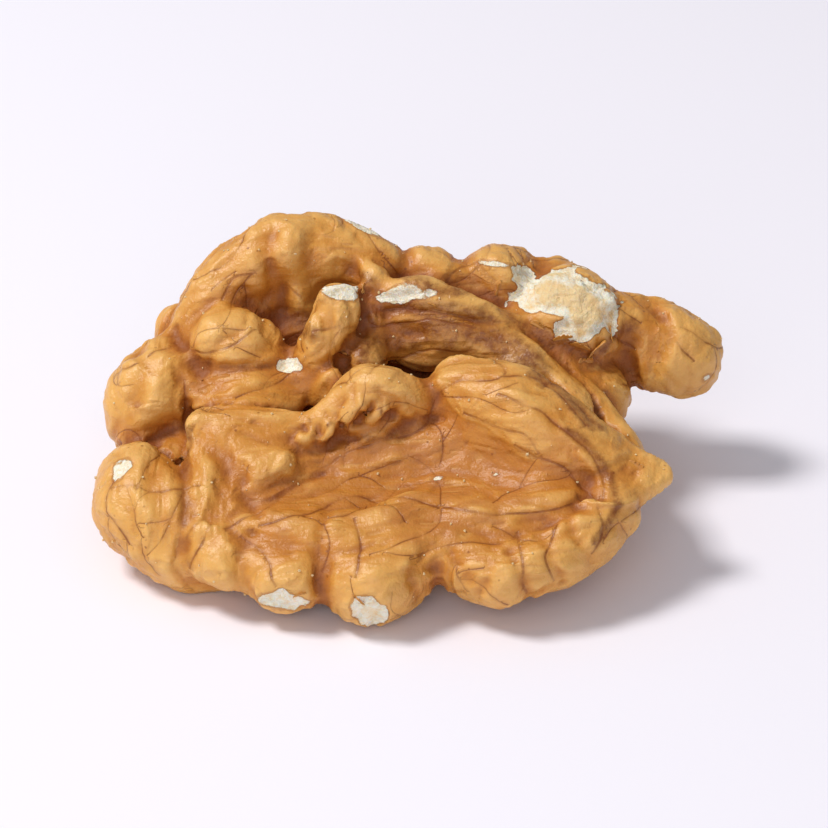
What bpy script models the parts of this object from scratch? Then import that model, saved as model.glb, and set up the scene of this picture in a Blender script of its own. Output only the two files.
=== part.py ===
# Half a walnut kernel: one seed leaf of the nut, whole, with its two lobes still joined.
# It lies on its folded outer side, with the inner face turned up and towards the front (-Y).
# The tables are in millimetres: a place, then the fold's radius there. The finished body is
# laid down, cut flat at its lowest points and centred on the origin, in metres.
import math

import bmesh
import bpy
import numpy as np
from mathutils import Matrix, Vector
from mathutils.bvhtree import BVHTree

MM = 0.001
KERNEL_LENGTH = 38.0 * MM  # from the left bulge to the end of the back lobe's finger

# Front lobe: its inner face is a plate that rises to the back.
PLATE_SLOPE = math.radians(28.0)
PLATE_FOOT = (2.0, 2.6)  # Y and Z of the front rim's centre line, where the slope starts

# The nutshell's inner wall, which the outer folds press against: a squarish egg along X.
SHELL_MIDDLE = (12.4, 8.0)  # Y and Z of its axis
SHELL_REACH = (12.8, 8.5)  # half its depth and half its height
SHELL_HALF_LENGTH = 20.5
SHELL_SQUARENESS = 2.4  # 2 is an ellipse, and more is flatter underneath
OUTER_FOLD_RADIUS = 2.45
OUTER_FOLD_STATIONS = 9
GIRTH_SWING = 0.13  # how much an outer fold's radius grows and shrinks along it, as a share
CORE_DEPTH = 5.2  # how far inside the shell's wall the folds' common core lies
CORE_RADIUS = 2.5
CORE_TURNS = (-58, -30, 0, 22)
CORE_PLACES = (-11.5, -6.0, 0.0, 6.0, 10.5)

# Making of the body
BEAD_STEP = 0.3  # distance between the balls of a fold, as a share of their radius
BEAD_SEGMENTS = 16
VOXEL = 0.36 * MM
SMOOTH_ROUNDS = 4
BODY_TRIANGLES = 11000
LYING_DOWN_ROUNDS = 20
SWELLINGS = ((5.0 * MM, 0.9 * MM), (2.2 * MM, 0.35 * MM))  # size and height of the uneven swelling
REST_CUT = 0.35 * MM  # what the low points lose, so that each has a small flat spot

SKIN_COLOUR = (0.60, 0.36, 0.13, 1.0)
SKIN_ROUGHNESS = 0.5


def on_plate(x, along, above):
    """A point of the front lobe: along its slope from the front rim, and above its mid plane."""
    y = PLATE_FOOT[0] + along * math.cos(PLATE_SLOPE) - above * math.sin(PLATE_SLOPE)
    z = PLATE_FOOT[1] + along * math.sin(PLATE_SLOPE) + above * math.cos(PLATE_SLOPE)
    return x, y, z


def plate_route(*stations):
    """A fold of the front lobe, given as x, distance along the slope, height above it, radius."""
    return [(*on_plate(x, along, above), radius) for x, along, above, radius in stations]


def on_shell(x, turn, depth):
    """A point inside the shell's wall, at x and at an angle from the back, by that depth."""
    power = 2 / SHELL_SQUARENESS
    taper = (1 - abs(x / SHELL_HALF_LENGTH) ** SHELL_SQUARENESS) ** (1 / SHELL_SQUARENESS)
    c, s = math.cos(math.radians(turn)), math.sin(math.radians(turn))
    y = SHELL_MIDDLE[0] + math.copysign(abs(c) ** power, c) * max(SHELL_REACH[0] * taper - depth, 0.0)
    z = SHELL_MIDDLE[1] + math.copysign(abs(s) ** power, s) * max(SHELL_REACH[1] * taper - depth, 0.0)
    return x, y, z


def outer_fold(x, turns, sway, waves, phase, radius=OUTER_FOLD_RADIUS):
    """A winding fold of the outer side, running round the shell from one angle to another."""
    stations = []
    for share in np.linspace(0.0, 1.0, OUTER_FOLD_STATIONS):
        swing = math.sin(2 * math.pi * waves * share + phase)
        girth = radius * (1 + GIRTH_SWING * math.cos(2 * math.pi * (waves + 0.6) * share + 2 * phase))
        turn = turns[0] + (turns[1] - turns[0]) * share
        stations.append((*on_shell(x + sway * swing, turn, girth), girth))
    return stations


# The front lobe: a thick sloping plate with a scalloped rim and raised back edge.
FRONT_LOBE = {
    "rim": plate_route(
        (-12.0, 4.2, 0.1, 1.8), (-11.5, 1.4, 0.1, 1.8), (-9.4, 1.0, 0.1, 1.5), (-7.6, -0.2, 0.1, 1.9),
        (-5.2, 0.9, 0.1, 1.6), (-2.6, -0.7, 0.0, 2.3), (0.7, 1.8, 0.1, 1.7), (3.2, 0.3, 0.1, 1.9),
        (6.0, 0.0, 0.1, 2.0), (9.0, 1.6, 0.1, 2.0), (11.4, 3.6, 0.0, 1.8),
    ),
    "tip_below": plate_route((11.0, 3.6, 0.0, 1.8), (12.8, 4.9, 0.2, 1.0), (14.4, 5.8, 0.3, 0.5)),
    "tip_above": plate_route((10.8, 7.6, 0.1, 1.7), (12.8, 6.8, 0.3, 1.0), (14.4, 5.9, 0.3, 0.5)),
    "tip_middle": plate_route((10.6, 5.6, -0.2, 1.7), (12.6, 5.8, 0.1, 1.1)),
    "swollen_band": plate_route(
        (-10.2, 3.0, 0.0, 1.9), (-6.6, 2.4, 0.2, 1.9), (-3.0, 2.2, 0.2, 2.1), (0.6, 3.6, -0.1, 1.9),
        (4.4, 2.8, 0.1, 2.0), (8.4, 3.6, 0.0, 2.0),
    ),
    "basin_low": plate_route(
        (-10.6, 5.2, -0.7, 1.9), (-5.0, 4.7, -1.2, 2.0), (1.0, 5.4, -1.6, 2.1), (6.0, 5.2, -1.2, 2.1),
        (10.4, 5.4, -0.6, 1.8),
    ),
    "basin_high": plate_route(
        (-10.6, 7.4, 0.1, 1.9), (-5.4, 7.0, -1.3, 2.0), (0.6, 7.4, -1.7, 2.1), (5.0, 7.0, -1.1, 2.0),
        (9.0, 6.8, -0.5, 1.8),
    ),
    "back_edge": plate_route(
        (-10.8, 8.8, 0.2, 1.8), (-5.0, 8.8, -0.7, 1.9), (0.0, 9.4, -0.8, 2.0), (4.0, 9.8, -0.2, 2.2),
    ),
    "left_edge": plate_route((-12.4, 10.4, 1.1, 1.2), (-12.3, 7.6, 0.8, 1.4), (-12.0, 4.2, 0.3, 1.7)),
    "left_ridge": plate_route((-12.4, 10.4, 1.1, 1.2), (-9.5, 10.1, 1.1, 1.2), (-6.8, 9.7, 0.8, 1.2)),
    "small_bump": plate_route((-9.2, 6.8, 1.2, 1.1), (-8.2, 7.2, 1.1, 1.1)),
    "crinkled_knob": plate_route(
        (-6.2, 9.7, 0.9, 1.2), (-4.4, 10.3, 1.4, 1.4), (-2.4, 11.5, 1.9, 1.9), (0.2, 11.0, 1.3, 1.4),
    ),
    "shoulder": plate_route(
        (2.7, 11.7, 1.4, 2.1), (5.2, 10.3, 1.2, 2.9), (8.4, 8.2, 0.9, 2.7), (11.0, 6.6, 0.4, 1.9),
    ),
}

# The left end, where the front lobe's outer fold wraps round and shows below the inner face.
LEFT_END = {
    "left_bulge": [
        (-16.6, 9.8, 5.2, 2.5), (-15.7, 7.5, 4.2, 3.2), (-13.4, 5.6, 3.2, 2.9), (-10.0, 5.6, 2.9, 2.6),
    ],
}

# The back lobe, as seen from the front: bulges, a winding fold, an arch, a rim and a finger.
BACK_LOBE = {
    "left_shoulder": [
        (-16.2, 14.0, 6.9, 2.7), (-15.4, 15.0, 8.1, 3.2), (-13.2, 16.6, 8.8, 2.8),
    ],
    "winding_fold": [
        (-12.2, 16.8, 9.8, 2.6), (-10.8, 16.1, 10.1, 3.0), (-8.7, 15.4, 8.9, 2.2), (-6.5, 14.9, 9.1, 1.8),
        (-5.1, 15.1, 11.1, 1.7), (-4.3, 15.8, 13.2, 1.6),
    ],
    "arch": [
        (-13.0, 17.8, 10.4, 2.2), (-11.5, 19.4, 12.9, 2.2), (-8.8, 20.2, 14.2, 2.4),
        (-5.4, 20.7, 14.3, 2.4), (-2.6, 20.7, 13.2, 2.2), (-0.9, 20.2, 11.2, 2.1),
    ],
    "arch_wall": [
        (-11.0, 20.0, 9.6, 2.5), (-7.4, 21.6, 10.6, 2.5), (-3.4, 21.2, 10.0, 2.5), (-0.8, 20.4, 8.6, 2.4),
    ],
    "rib_behind_knob": [(-2.6, 18.2, 12.2, 1.2), (-2.2, 17.9, 13.5, 1.1)],
    "inner_rim": [
        (-2.6, 17.2, 12.1, 1.2), (0.2, 17.2, 12.7, 1.3), (2.8, 17.2, 11.9, 1.3), (5.2, 17.0, 10.4, 1.3),
        (7.6, 16.2, 8.8, 1.3), (9.6, 14.6, 7.4, 1.2), (11.4, 12.2, 6.0, 1.2), (12.8, 9.0, 5.0, 0.9),
    ],
    "trough_wall": [
        (-6.0, 18.0, 8.4, 2.2), (-1.0, 18.4, 9.4, 2.3), (3.0, 18.2, 8.8, 2.3), (7.0, 17.4, 6.6, 2.3),
        (10.0, 15.2, 4.9, 1.9), (11.6, 12.0, 4.2, 1.6),
    ],
    "bump_left": [(0.0, 19.8, 11.2, 2.0), (1.5, 20.2, 12.4, 1.7)],
    "bump_right": [(3.6, 20.6, 11.4, 2.1), (5.3, 20.4, 12.3, 1.8)],
    "nodule": [(6.6, 19.2, 9.0, 2.8), (9.3, 19.2, 9.2, 3.8)],
    "finger": [
        (10.2, 19.6, 8.8, 2.6), (13.3, 20.0, 8.3, 2.6), (15.2, 19.6, 7.4, 2.9), (16.5, 19.4, 6.7, 2.6),
    ],
}

# The outer side: folds that run from the groove between the lobes round to the rim.
OUTER_SIDE = {
    "under_1": outer_fold(-12.6, (-101, -127), 1.0, 0.6, 0.4, 2.2),
    "under_2": outer_fold(-8.4, (-98, -127), 1.4, 0.9, 2.0, 2.25),
    "under_3": outer_fold(-3.9, (-101, -127), 1.3, 0.8, 4.4, 2.25),
    "under_4": outer_fold(0.8, (-97, -127), 1.4, 1.0, 0.8, 2.25),
    "under_5": outer_fold(5.4, (-100, -127), 1.2, 0.8, 3.2, 2.25),
    "under_6": outer_fold(9.6, (-98, -124), 0.9, 0.7, 5.2, 2.1),
    "back_1": outer_fold(-14.6, (-66, 10), 0.9, 1.0, 1.2, 2.3),
    "back_2": outer_fold(-10.2, (-72, 36), 1.5, 1.4, 0.2),
    "back_3": outer_fold(-5.4, (-68, 42), 1.5, 1.3, 2.6),
    "back_4": outer_fold(-0.4, (-74, 40), 1.6, 1.4, 4.6),
    "back_5": outer_fold(4.6, (-68, 34), 1.5, 1.3, 1.0),
    "back_6": outer_fold(9.4, (-70, 16), 1.3, 1.2, 3.4),
    "low_right": [(5.4, 17.4, 1.7, 2.2), (8.2, 19.0, 2.3, 2.2)],
}


def core():
    """What joins the back lobe's folds inside, and the bridge that joins the two lobes."""
    rows = {}
    for turn in CORE_TURNS:
        rows[turn] = [(*on_shell(x, turn, CORE_DEPTH), CORE_RADIUS) for x in CORE_PLACES]
    rows["bridge"] = [
        (-13.0, 12.0, 5.2, 2.3), (-8.0, 12.4, 4.6, 2.5), (0.0, 12.6, 4.4, 2.6), (10.0, 12.2, 4.4, 2.4),
    ]
    return rows


def smooth_route(stations):
    """Points along the curve through the stations (Catmull-Rom), each with its radius."""
    knots = np.array(stations, float)
    ends = np.vstack([2 * knots[0] - knots[1], knots, 2 * knots[-1] - knots[-2]])
    points = []
    for a, b, c, d in zip(ends, ends[1:], ends[2:], ends[3:]):
        gap = np.linalg.norm(c[:3] - b[:3])
        count = max(2, math.ceil(gap / (BEAD_STEP * min(b[3], c[3]))))
        t = np.linspace(0, 1, count, endpoint=False)[:, None]
        bend = 2 * a - 5 * b + 4 * c - d
        twist = 3 * b - a - 3 * c + d
        points.append(0.5 * (2 * b + (c - a) * t + bend * t**2 + twist * t**3))
    points.append(knots[-1:])
    return np.vstack(points)


def ball():
    """Corners and faces of one unit ball, which every bead copies."""
    mesh = bmesh.new()
    bmesh.ops.create_uvsphere(mesh, u_segments=BEAD_SEGMENTS, v_segments=BEAD_SEGMENTS // 2, radius=1.0)
    bmesh.ops.triangulate(mesh, faces=mesh.faces[:])
    corners = np.array([vertex.co for vertex in mesh.verts])
    faces = np.array([[vertex.index for vertex in face.verts] for face in mesh.faces])
    mesh.free()
    return corners, faces


def strung_folds(name, groups):
    """One mesh object holding every fold as a string of overlapping balls.

    The balls give a fold round ends and a girth that varies along it.
    """
    beads = np.vstack([smooth_route(stations) for folds in groups for stations in folds.values()]) * MM
    corners, faces = ball()
    points = beads[:, None, :3] + beads[:, None, 3:] * corners[None]
    sides = faces[None] + (np.arange(len(beads)) * len(corners))[:, None, None]
    data = bpy.data.meshes.new(name)
    data.from_pydata(points.reshape(-1, 3).tolist(), [], sides.reshape(-1, 3).tolist())
    return bpy.data.objects.new(name, data)


def cloud(name, size):
    texture = bpy.data.textures.new(name, "CLOUDS")
    texture.noise_scale = size
    texture.noise_depth = 1
    return texture


def grow_together(body):
    """The modifiers that fuse the folds into one body and give it its uneven swelling."""
    fuse = body.modifiers.new("fuse", "REMESH")
    fuse.mode = "VOXEL"
    fuse.voxel_size = VOXEL
    smooth = body.modifiers.new("smooth", "SMOOTH")
    smooth.factor = 0.5
    smooth.iterations = SMOOTH_ROUNDS
    for size, height in SWELLINGS:
        swell = body.modifiers.new("swelling", "DISPLACE")
        swell.texture = cloud("swelling", size)
        swell.strength = height
        swell.mid_level = 0.5


def thin_out(body):
    """The modifier that brings the body down to its number of triangles."""
    thin = body.modifiers.new("thin", "DECIMATE")
    thin.ratio = BODY_TRIANGLES / (2 * len(body.data.polygons))
    thin.use_collapse_triangulate = True


def applied(body):
    """The plain mesh that the object's modifiers give, in place of them."""
    graph = bpy.context.evaluated_depsgraph_get()
    data = bpy.data.meshes.new_from_object(body.evaluated_get(graph))
    body.modifiers.clear()
    body.data = data


def centre_of_mass(mesh):
    """Middle of the volume inside the mesh, from the pyramids that its faces make with the origin."""
    corners = np.array([[loop.vert.co[:] for loop in trio] for trio in mesh.calc_loop_triangles()])
    volumes = np.einsum("ij,ij->i", corners[:, 0], np.cross(corners[:, 1], corners[:, 2]))
    return Vector((corners.sum(1) / 4 * volumes[:, None]).sum(0) / volumes.sum())


def lie_down(mesh):
    """Turn the body until it lies on the side of its convex hull that is under its weight."""
    for _ in range(LYING_DOWN_ROUNDS):
        hull = mesh.copy()
        found = bmesh.ops.convex_hull(hull, input=hull.verts[:], use_existing_faces=False)
        inside = [item for item in found["geom_interior"] if isinstance(item, bmesh.types.BMVert)]
        bmesh.ops.delete(hull, geom=inside, context="VERTS")
        side = BVHTree.FromBMesh(hull).ray_cast(centre_of_mass(mesh), Vector((0, 0, -1)))[1]
        hull.free()
        if side.z > 0:
            side.negate()
        turn = side.rotation_difference(Vector((0, 0, -1))).to_matrix()
        bmesh.ops.rotate(mesh, matrix=turn, verts=mesh.verts[:])


def cut_flat_spots(mesh):
    """Take a little off the lowest points and close each with a flat face."""
    floor = min(vertex.co.z for vertex in mesh.verts) + REST_CUT
    parts = mesh.verts[:] + mesh.edges[:] + mesh.faces[:]
    bmesh.ops.bisect_plane(mesh, geom=parts, plane_co=(0, 0, floor), plane_no=(0, 0, 1), clear_inner=True)
    open_edges = [edge for edge in mesh.edges if edge.is_boundary]
    bmesh.ops.holes_fill(mesh, edges=open_edges, sides=0)
    bmesh.ops.triangulate(mesh, faces=mesh.faces[:])
    bmesh.ops.recalc_face_normals(mesh, faces=mesh.faces[:])


def size_and_centre(mesh):
    """Bring the body to its length, over the origin and with the flat spots on the floor."""
    points = np.array([vertex.co[:] for vertex in mesh.verts])
    low, high = points.min(0), points.max(0)
    middle = Vector(((low[0] + high[0]) / 2, (low[1] + high[1]) / 2, low[2]))
    to_size = Matrix.Scale(KERNEL_LENGTH / (high[0] - low[0]), 4)
    bmesh.ops.transform(mesh, matrix=to_size @ Matrix.Translation(-middle), verts=mesh.verts[:])


def skin():
    material = bpy.data.materials.new("kernel_skin")
    material.use_nodes = True
    shader = material.node_tree.nodes["Principled BSDF"]
    shader.inputs["Base Color"].default_value = SKIN_COLOUR
    shader.inputs["Roughness"].default_value = SKIN_ROUGHNESS
    shader.inputs["Metallic"].default_value = 0.0
    return material


def finish(body):
    """Lay the body down, cut its flat spots, and give it its size, place and material."""
    mesh = bmesh.new()
    mesh.from_mesh(body.data)
    lie_down(mesh)
    cut_flat_spots(mesh)
    size_and_centre(mesh)
    mesh.to_mesh(body.data)
    mesh.free()
    body.data.shade_smooth()
    body.data.materials.append(skin())


def main():
    for obj in list(bpy.data.objects):
        bpy.data.objects.remove(obj)
    collection = bpy.data.collections.new("walnut_kernel")
    bpy.context.scene.collection.children.link(collection)
    kernel = strung_folds("kernel", (FRONT_LOBE, LEFT_END, BACK_LOBE, OUTER_SIDE, core()))
    collection.objects.link(kernel)
    grow_together(kernel)
    applied(kernel)
    thin_out(kernel)
    applied(kernel)
    finish(kernel)
    print(len(kernel.data.polygons), "triangles, size in mm", [round(d / MM, 1) for d in kernel.dimensions])


main()
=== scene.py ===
import math

import bmesh
import bpy
import numpy as np
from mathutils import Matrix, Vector
from mathutils.bvhtree import BVHTree


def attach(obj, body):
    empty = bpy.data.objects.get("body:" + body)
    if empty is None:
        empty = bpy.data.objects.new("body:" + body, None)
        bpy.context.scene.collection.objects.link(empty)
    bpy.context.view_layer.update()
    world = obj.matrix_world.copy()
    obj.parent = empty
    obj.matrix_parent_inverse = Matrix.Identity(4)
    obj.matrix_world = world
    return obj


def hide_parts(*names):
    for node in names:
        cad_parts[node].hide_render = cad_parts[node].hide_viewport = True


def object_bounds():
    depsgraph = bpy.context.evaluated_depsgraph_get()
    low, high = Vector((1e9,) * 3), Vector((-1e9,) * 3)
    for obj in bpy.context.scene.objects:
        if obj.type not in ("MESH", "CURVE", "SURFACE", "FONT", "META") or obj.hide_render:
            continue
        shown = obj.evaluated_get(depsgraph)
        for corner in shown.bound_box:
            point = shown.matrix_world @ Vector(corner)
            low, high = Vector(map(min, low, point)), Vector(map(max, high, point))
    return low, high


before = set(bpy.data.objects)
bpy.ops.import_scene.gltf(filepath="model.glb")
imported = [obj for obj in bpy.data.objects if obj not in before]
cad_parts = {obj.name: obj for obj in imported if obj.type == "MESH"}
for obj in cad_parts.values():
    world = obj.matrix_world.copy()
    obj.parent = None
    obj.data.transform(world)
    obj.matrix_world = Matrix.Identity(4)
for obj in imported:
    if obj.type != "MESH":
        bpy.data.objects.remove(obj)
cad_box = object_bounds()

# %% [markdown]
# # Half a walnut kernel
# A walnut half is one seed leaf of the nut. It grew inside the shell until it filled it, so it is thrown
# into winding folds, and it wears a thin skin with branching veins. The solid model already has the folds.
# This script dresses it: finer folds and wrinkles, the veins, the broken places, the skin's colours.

MM = 0.001
rng = np.random.default_rng(23)
low, high = (np.array(corner) for corner in cad_box)
print("kernel from the frame, in mm:", np.round((high - low) / MM, 1))

# %% [markdown]
# ## Naming places on the kernel
# The details of a real thing are easiest to place as an eye sees them. So a place is given by how far it lies
# right of and above the middle of the front view, and a ray from that view finds the surface there.
# The front view looks along +Y from 30 degrees above, which is also where the camera will stand.

# %% The front view as a pair of axes
VIEW_RISE = math.radians(30.0)
TO_EYE = np.array([0.0, -math.cos(VIEW_RISE), math.sin(VIEW_RISE)])
RIGHT = np.array([1.0, 0.0, 0.0])
UP = np.array([0.0, math.sin(VIEW_RISE), math.cos(VIEW_RISE)])


def places_in(text):
    """The places in a text such as "-17.6 2.5, -15.4 2.2": right and above, in millimetres."""
    return [tuple(map(float, place.split())) for place in text.split(",")]


def seen_at(tree, right, above):
    """The surface point and normal under a ray from the eye, at so many millimetres right and above."""
    start = (RIGHT * right + UP * above) * MM + TO_EYE * 0.1
    point, normal, face, reach = tree.ray_cast(Vector(start), Vector(-TO_EYE))
    return (None, None) if point is None else (np.array(point), np.array(normal))


# %% [markdown]
# ## A skin to work on
# The frame's mesh is a faceted solid. A copy of it is merged, smoothed by one subdivision, and given a new
# even net of small faces by a voxel remesh. An even net is what the numpy steps below need: every corner
# has neighbours at about the same distance, so averaging over neighbours is the same everywhere.

# %% The working net
NET = 0.2 * MM


def linked(name, data):
    """A new object for the data, in the scene."""
    made = bpy.data.objects.new(name, data)
    bpy.context.scene.collection.objects.link(made)
    return made


def merged_copy(node, name):
    """A copy of a frame node's mesh with its loose triangles joined at their corners."""
    work = bmesh.new()
    work.from_mesh(node.data)
    bmesh.ops.remove_doubles(work, verts=work.verts[:], dist=0.002 * MM)
    data = bpy.data.meshes.new(name)
    work.to_mesh(data)
    work.free()
    return linked(name, data)


def settle_modifiers(piece):
    """Put the result of the modifiers in the mesh itself."""
    graph = bpy.context.evaluated_depsgraph_get()
    data = bpy.data.meshes.new_from_object(piece.evaluated_get(graph))
    piece.modifiers.clear()
    old, piece.data = piece.data, data
    bpy.data.meshes.remove(old)


def remesh(piece, size, rounds):
    """A new even net over the piece, and a few rounds of smoothing."""
    net = piece.modifiers.new("net", "REMESH")
    net.mode = "VOXEL"
    net.voxel_size = size
    calm = piece.modifiers.new("calm", "SMOOTH")
    calm.factor = 0.5
    calm.iterations = rounds
    settle_modifiers(piece)


kernel = merged_copy(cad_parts["kernel"], "kernel_skin")
soften = kernel.modifiers.new("soften", "SUBSURF")
soften.levels = soften.render_levels = 1
settle_modifiers(kernel)
smooth_tree = BVHTree.FromObject(kernel, bpy.context.evaluated_depsgraph_get())
print("faces before the fine folds:", len(kernel.data.polygons))

# %% [markdown]
# ## Fine folds
# The knob on the plate is crinkled like a small brain, low ribs run along the plate's hollow, and the upright
# knob has a crown. Each is a circle carried along a smooth route and sunk into the surface, and the remesh
# melts it in. Modelled folds cast real shadows, which a bump map would not. Thicker tubes, set further back,
# are the walls behind the gaps between the two lobes.

# %% A tube along a route
TUBE_SIDES = 10
ROUTE_STEP = 0.15 * MM
# Added to the eye's direction, so that no route runs quite along it.
OFF_AXIS = 0.01


def curve_through(stations, step):
    """Catmull-Rom curve: between two stations it leaves each one parallel to its neighbours' chord."""
    knots = np.array(stations, float)
    ends = np.vstack([2 * knots[0] - knots[1], knots, 2 * knots[-1] - knots[-2]])
    pieces = []
    for a, b, c, d in zip(ends, ends[1:], ends[2:], ends[3:]):
        count = max(2, math.ceil(np.linalg.norm((c - b)[:3]) / step))
        t = np.linspace(0, 1, count, endpoint=False)[:, None]
        bend = 2 * a - 5 * b + 4 * c - d
        twist = 3 * b - a - 3 * c + d
        pieces.append(0.5 * (2 * b + (c - a) * t + bend * t**2 + twist * t**3))
    return np.vstack(pieces + [knots[-1:]])


def tube(route, radii):
    """Corners and faces of a tube: at each point of the route, a circle of its radius across the way."""
    along = np.gradient(route, axis=0)
    along /= np.linalg.norm(along, axis=1)[:, None]
    side = np.cross(along, TO_EYE + OFF_AXIS)
    side /= np.linalg.norm(side, axis=1)[:, None]
    lift = np.cross(side, along)
    turn = np.linspace(0, 2 * np.pi, TUBE_SIDES, endpoint=False)
    ring = np.cos(turn)[None, :, None] * side[:, None] + np.sin(turn)[None, :, None] * lift[:, None]
    corners = (route[:, None] + radii[:, None, None] * ring).reshape(-1, 3)
    i, j = np.meshgrid(np.arange(len(route) - 1), np.arange(TUBE_SIDES), indexing="ij")
    k = (j + 1) % TUBE_SIDES
    here, ahead = i * TUBE_SIDES, (i + 1) * TUBE_SIDES
    quads = np.stack([here + j, here + k, ahead + k, ahead + j], -1)
    last = len(corners) - TUBE_SIDES
    caps = [tuple(range(TUBE_SIDES))[::-1], tuple(range(last, len(corners)))]
    return corners, [tuple(q) for q in quads.reshape(-1, 4).tolist()] + caps


def fold_along(stations, radius):
    """A tube through the stations, its radius 0.25 + 0.75 sqrt(1 - s^4) of the full one, s from -1 to 1."""
    route = curve_through(stations, ROUTE_STEP)
    share = np.linspace(-1, 1, len(route))
    return tube(route, radius * MM * (0.25 + 0.75 * np.sqrt(1 - share**4)))


def ridge_on(tree, text, radius, rise):
    """A fold through places of the front view. Its tube is sunk so that it stands out by the rise."""
    found = [seen_at(tree, *place) for place in places_in(text)]
    stations = [point + normal * (rise - radius) * MM for point, normal in found if point is not None]
    return fold_along(stations, radius)


def wall_between(tree, pairs, radius, back):
    """A fold that closes a gap, halfway between the surfaces seen at its two sides, and further back."""
    stations = []
    for one, other in pairs:
        first, _ = seen_at(tree, *one)
        second, _ = seen_at(tree, *other)
        stations.append((first + second) / 2 - TO_EYE * back * MM)
    return fold_along(stations, radius)


# %% Where the fine folds run
# Each is (radius, rise, places in the front view), in millimetres.
FINE_FOLDS = {
    "curl_bed": (0.90, 0.40, "-4.4 5.6, -3.0 5.8, -1.6 6.1, -0.4 6.2"),
    "curl_1": (0.42, 0.36, "-6.9 5.5, -6.3 5.1, -5.8 5.7"),
    "curl_2": (0.46, 0.40, "-5.6 5.0, -5.1 5.5, -4.6 6.3"),
    "curl_3": (0.60, 0.45, "-4.2 6.2, -3.5 6.9, -2.8 7.5"),
    "curl_4": (0.50, 0.40, "-2.9 6.2, -2.1 6.8, -1.5 7.3"),
    "curl_5": (0.36, 0.32, "-3.4 5.2, -2.4 5.4, -1.3 6.0"),
    "knob_crown": (0.55, 0.42, "-5.6 13.2, -5.0 13.9, -4.1 14.1, -3.3 13.6"),
    "knob_side": (0.50, 0.36, "-5.8 12.6, -5.9 11.8, -5.6 11.0"),
    "basin_rib_1": (0.20, 0.19, "-6.5 2.2, -4.8 3.0, -2.2 3.7, 0.6 4.4, 2.6 5.4"),
    "basin_rib_2": (0.18, 0.17, "0.4 2.6, 2.4 2.9, 4.2 2.4, 6.0 1.4, 8.2 1.0"),
    "basin_rib_3": (0.16, 0.15, "3.0 3.8, 4.4 3.2, 6.0 2.6, 7.6 1.9"),
    "tip_keel": (0.32, 0.30, "9.4 1.6, 11.4 1.4, 13.0 1.6, 14.4 1.8"),
}

# The foot of the back lobe comes down to the plate: each pair is a place on the plate and one on the lobe.
LOBE_FOOT = [
    ((-17.2, 4.7), (-17.2, 7.8)), ((-15.4, 5.0), (-15.4, 8.2)), ((-13.4, 6.2), (-13.4, 8.6)),
    ((-11.0, 6.5), (-11.0, 8.5)), ((-8.6, 6.5), (-8.6, 8.4)), ((-6.4, 6.9), (-6.4, 8.6)),
    ((-5.0, 7.6), (-5.0, 9.2)), ((-4.0, 8.0), (-4.0, 10.2)),
]
# The trough's wall slopes from the inner rim down to the plate.
TROUGH_WALL = [
    ((-1.8, 9.2), (-1.6, 12.9)), ((0.6, 8.7), (0.4, 12.7)), ((2.6, 9.8), (2.4, 12.5)),
    ((4.6, 9.6), (4.8, 11.6)), ((6.4, 8.8), (6.8, 10.4)), ((8.2, 7.4), (8.6, 8.6)), ((9.8, 5.6), (10.2, 6.8)),
]
# Under the inner rim the wall runs on: each pair is a place on the rim and one in the gap below it.
RIM_UNDERSIDE = [
    ((-2.0, 13.0), (-2.0, 11.7)), ((-0.6, 13.0), (-0.6, 11.7)), ((1.0, 12.8), (1.0, 11.6)),
    ((2.4, 12.5), (2.4, 11.4)), ((3.8, 12.0), (3.8, 11.0)),
]
# A wall joins the knob's right side to the inner rim and the trough.
KNOB_WALL = [
    ((-3.3, 13.5), (-1.6, 13.3)), ((-3.4, 12.4), (-1.6, 11.8)),
    ((-3.6, 11.2), (-1.8, 10.4)), ((-4.2, 9.8), (-2.4, 9.0)),
]

# Each wall is (pairs, radius, how far back), in millimetres.
WALLS = [(LOBE_FOOT, 1.7, 1.9), (KNOB_WALL, 1.5, 1.4), (TROUGH_WALL, 1.7, 3.2), (RIM_UNDERSIDE, 0.9, 0.2)]

folds = [ridge_on(smooth_tree, text, radius, rise) for radius, rise, text in FINE_FOLDS.values()]
folds += [wall_between(smooth_tree, *wall) for wall in WALLS]
with_folds = bmesh.new()
with_folds.from_mesh(kernel.data)
for corners, faces in folds:
    one_fold = bpy.data.meshes.new("fold")
    one_fold.from_pydata(corners.tolist(), [], faces)
    with_folds.from_mesh(one_fold)
    bpy.data.meshes.remove(one_fold)
with_folds.to_mesh(kernel.data)
with_folds.free()
remesh(kernel, NET, 3)
print(len(folds), "fine folds melted in;", len(kernel.data.polygons), "faces in the net")

# %% [markdown]
# ## Reading the surface
# The next steps need numbers for every corner: where it is, which way it faces, and whether it lies in a
# crease or on a crest. A crease shows as a corner that lies below the mean of the corners round it. Doing
# this as whole arrays keeps it fast: averaging over neighbours is two weighted counts over the edge list.

# %% Arrays of the net
def read_array(items, key, width, kind=np.float32):
    """One property of all items as an array, so many numbers to a row."""
    values = np.empty(len(items) * width, kind)
    items.foreach_get(key, values)
    return values.reshape(-1, width) if width > 1 else values


def places_of(piece):
    return read_array(piece.data.vertices, "co", 3).astype(float)


def facing_of(piece):
    return read_array(piece.data.vertex_normals, "vector", 3).astype(float)


def move_to(piece, places):
    piece.data.vertices.foreach_set("co", places.astype(np.float32).ravel())
    piece.data.update()


edges = read_array(kernel.data.edges, "vertices", 2, np.int32)
corner_count = len(kernel.data.vertices)
neighbour_count = np.bincount(edges.ravel(), minlength=corner_count)


def summed(at_first, at_second):
    """For each corner, the sum over its edges of a value at the end that it has."""
    first = np.bincount(edges[:, 0], at_first, corner_count)
    return first + np.bincount(edges[:, 1], at_second, corner_count)


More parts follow.
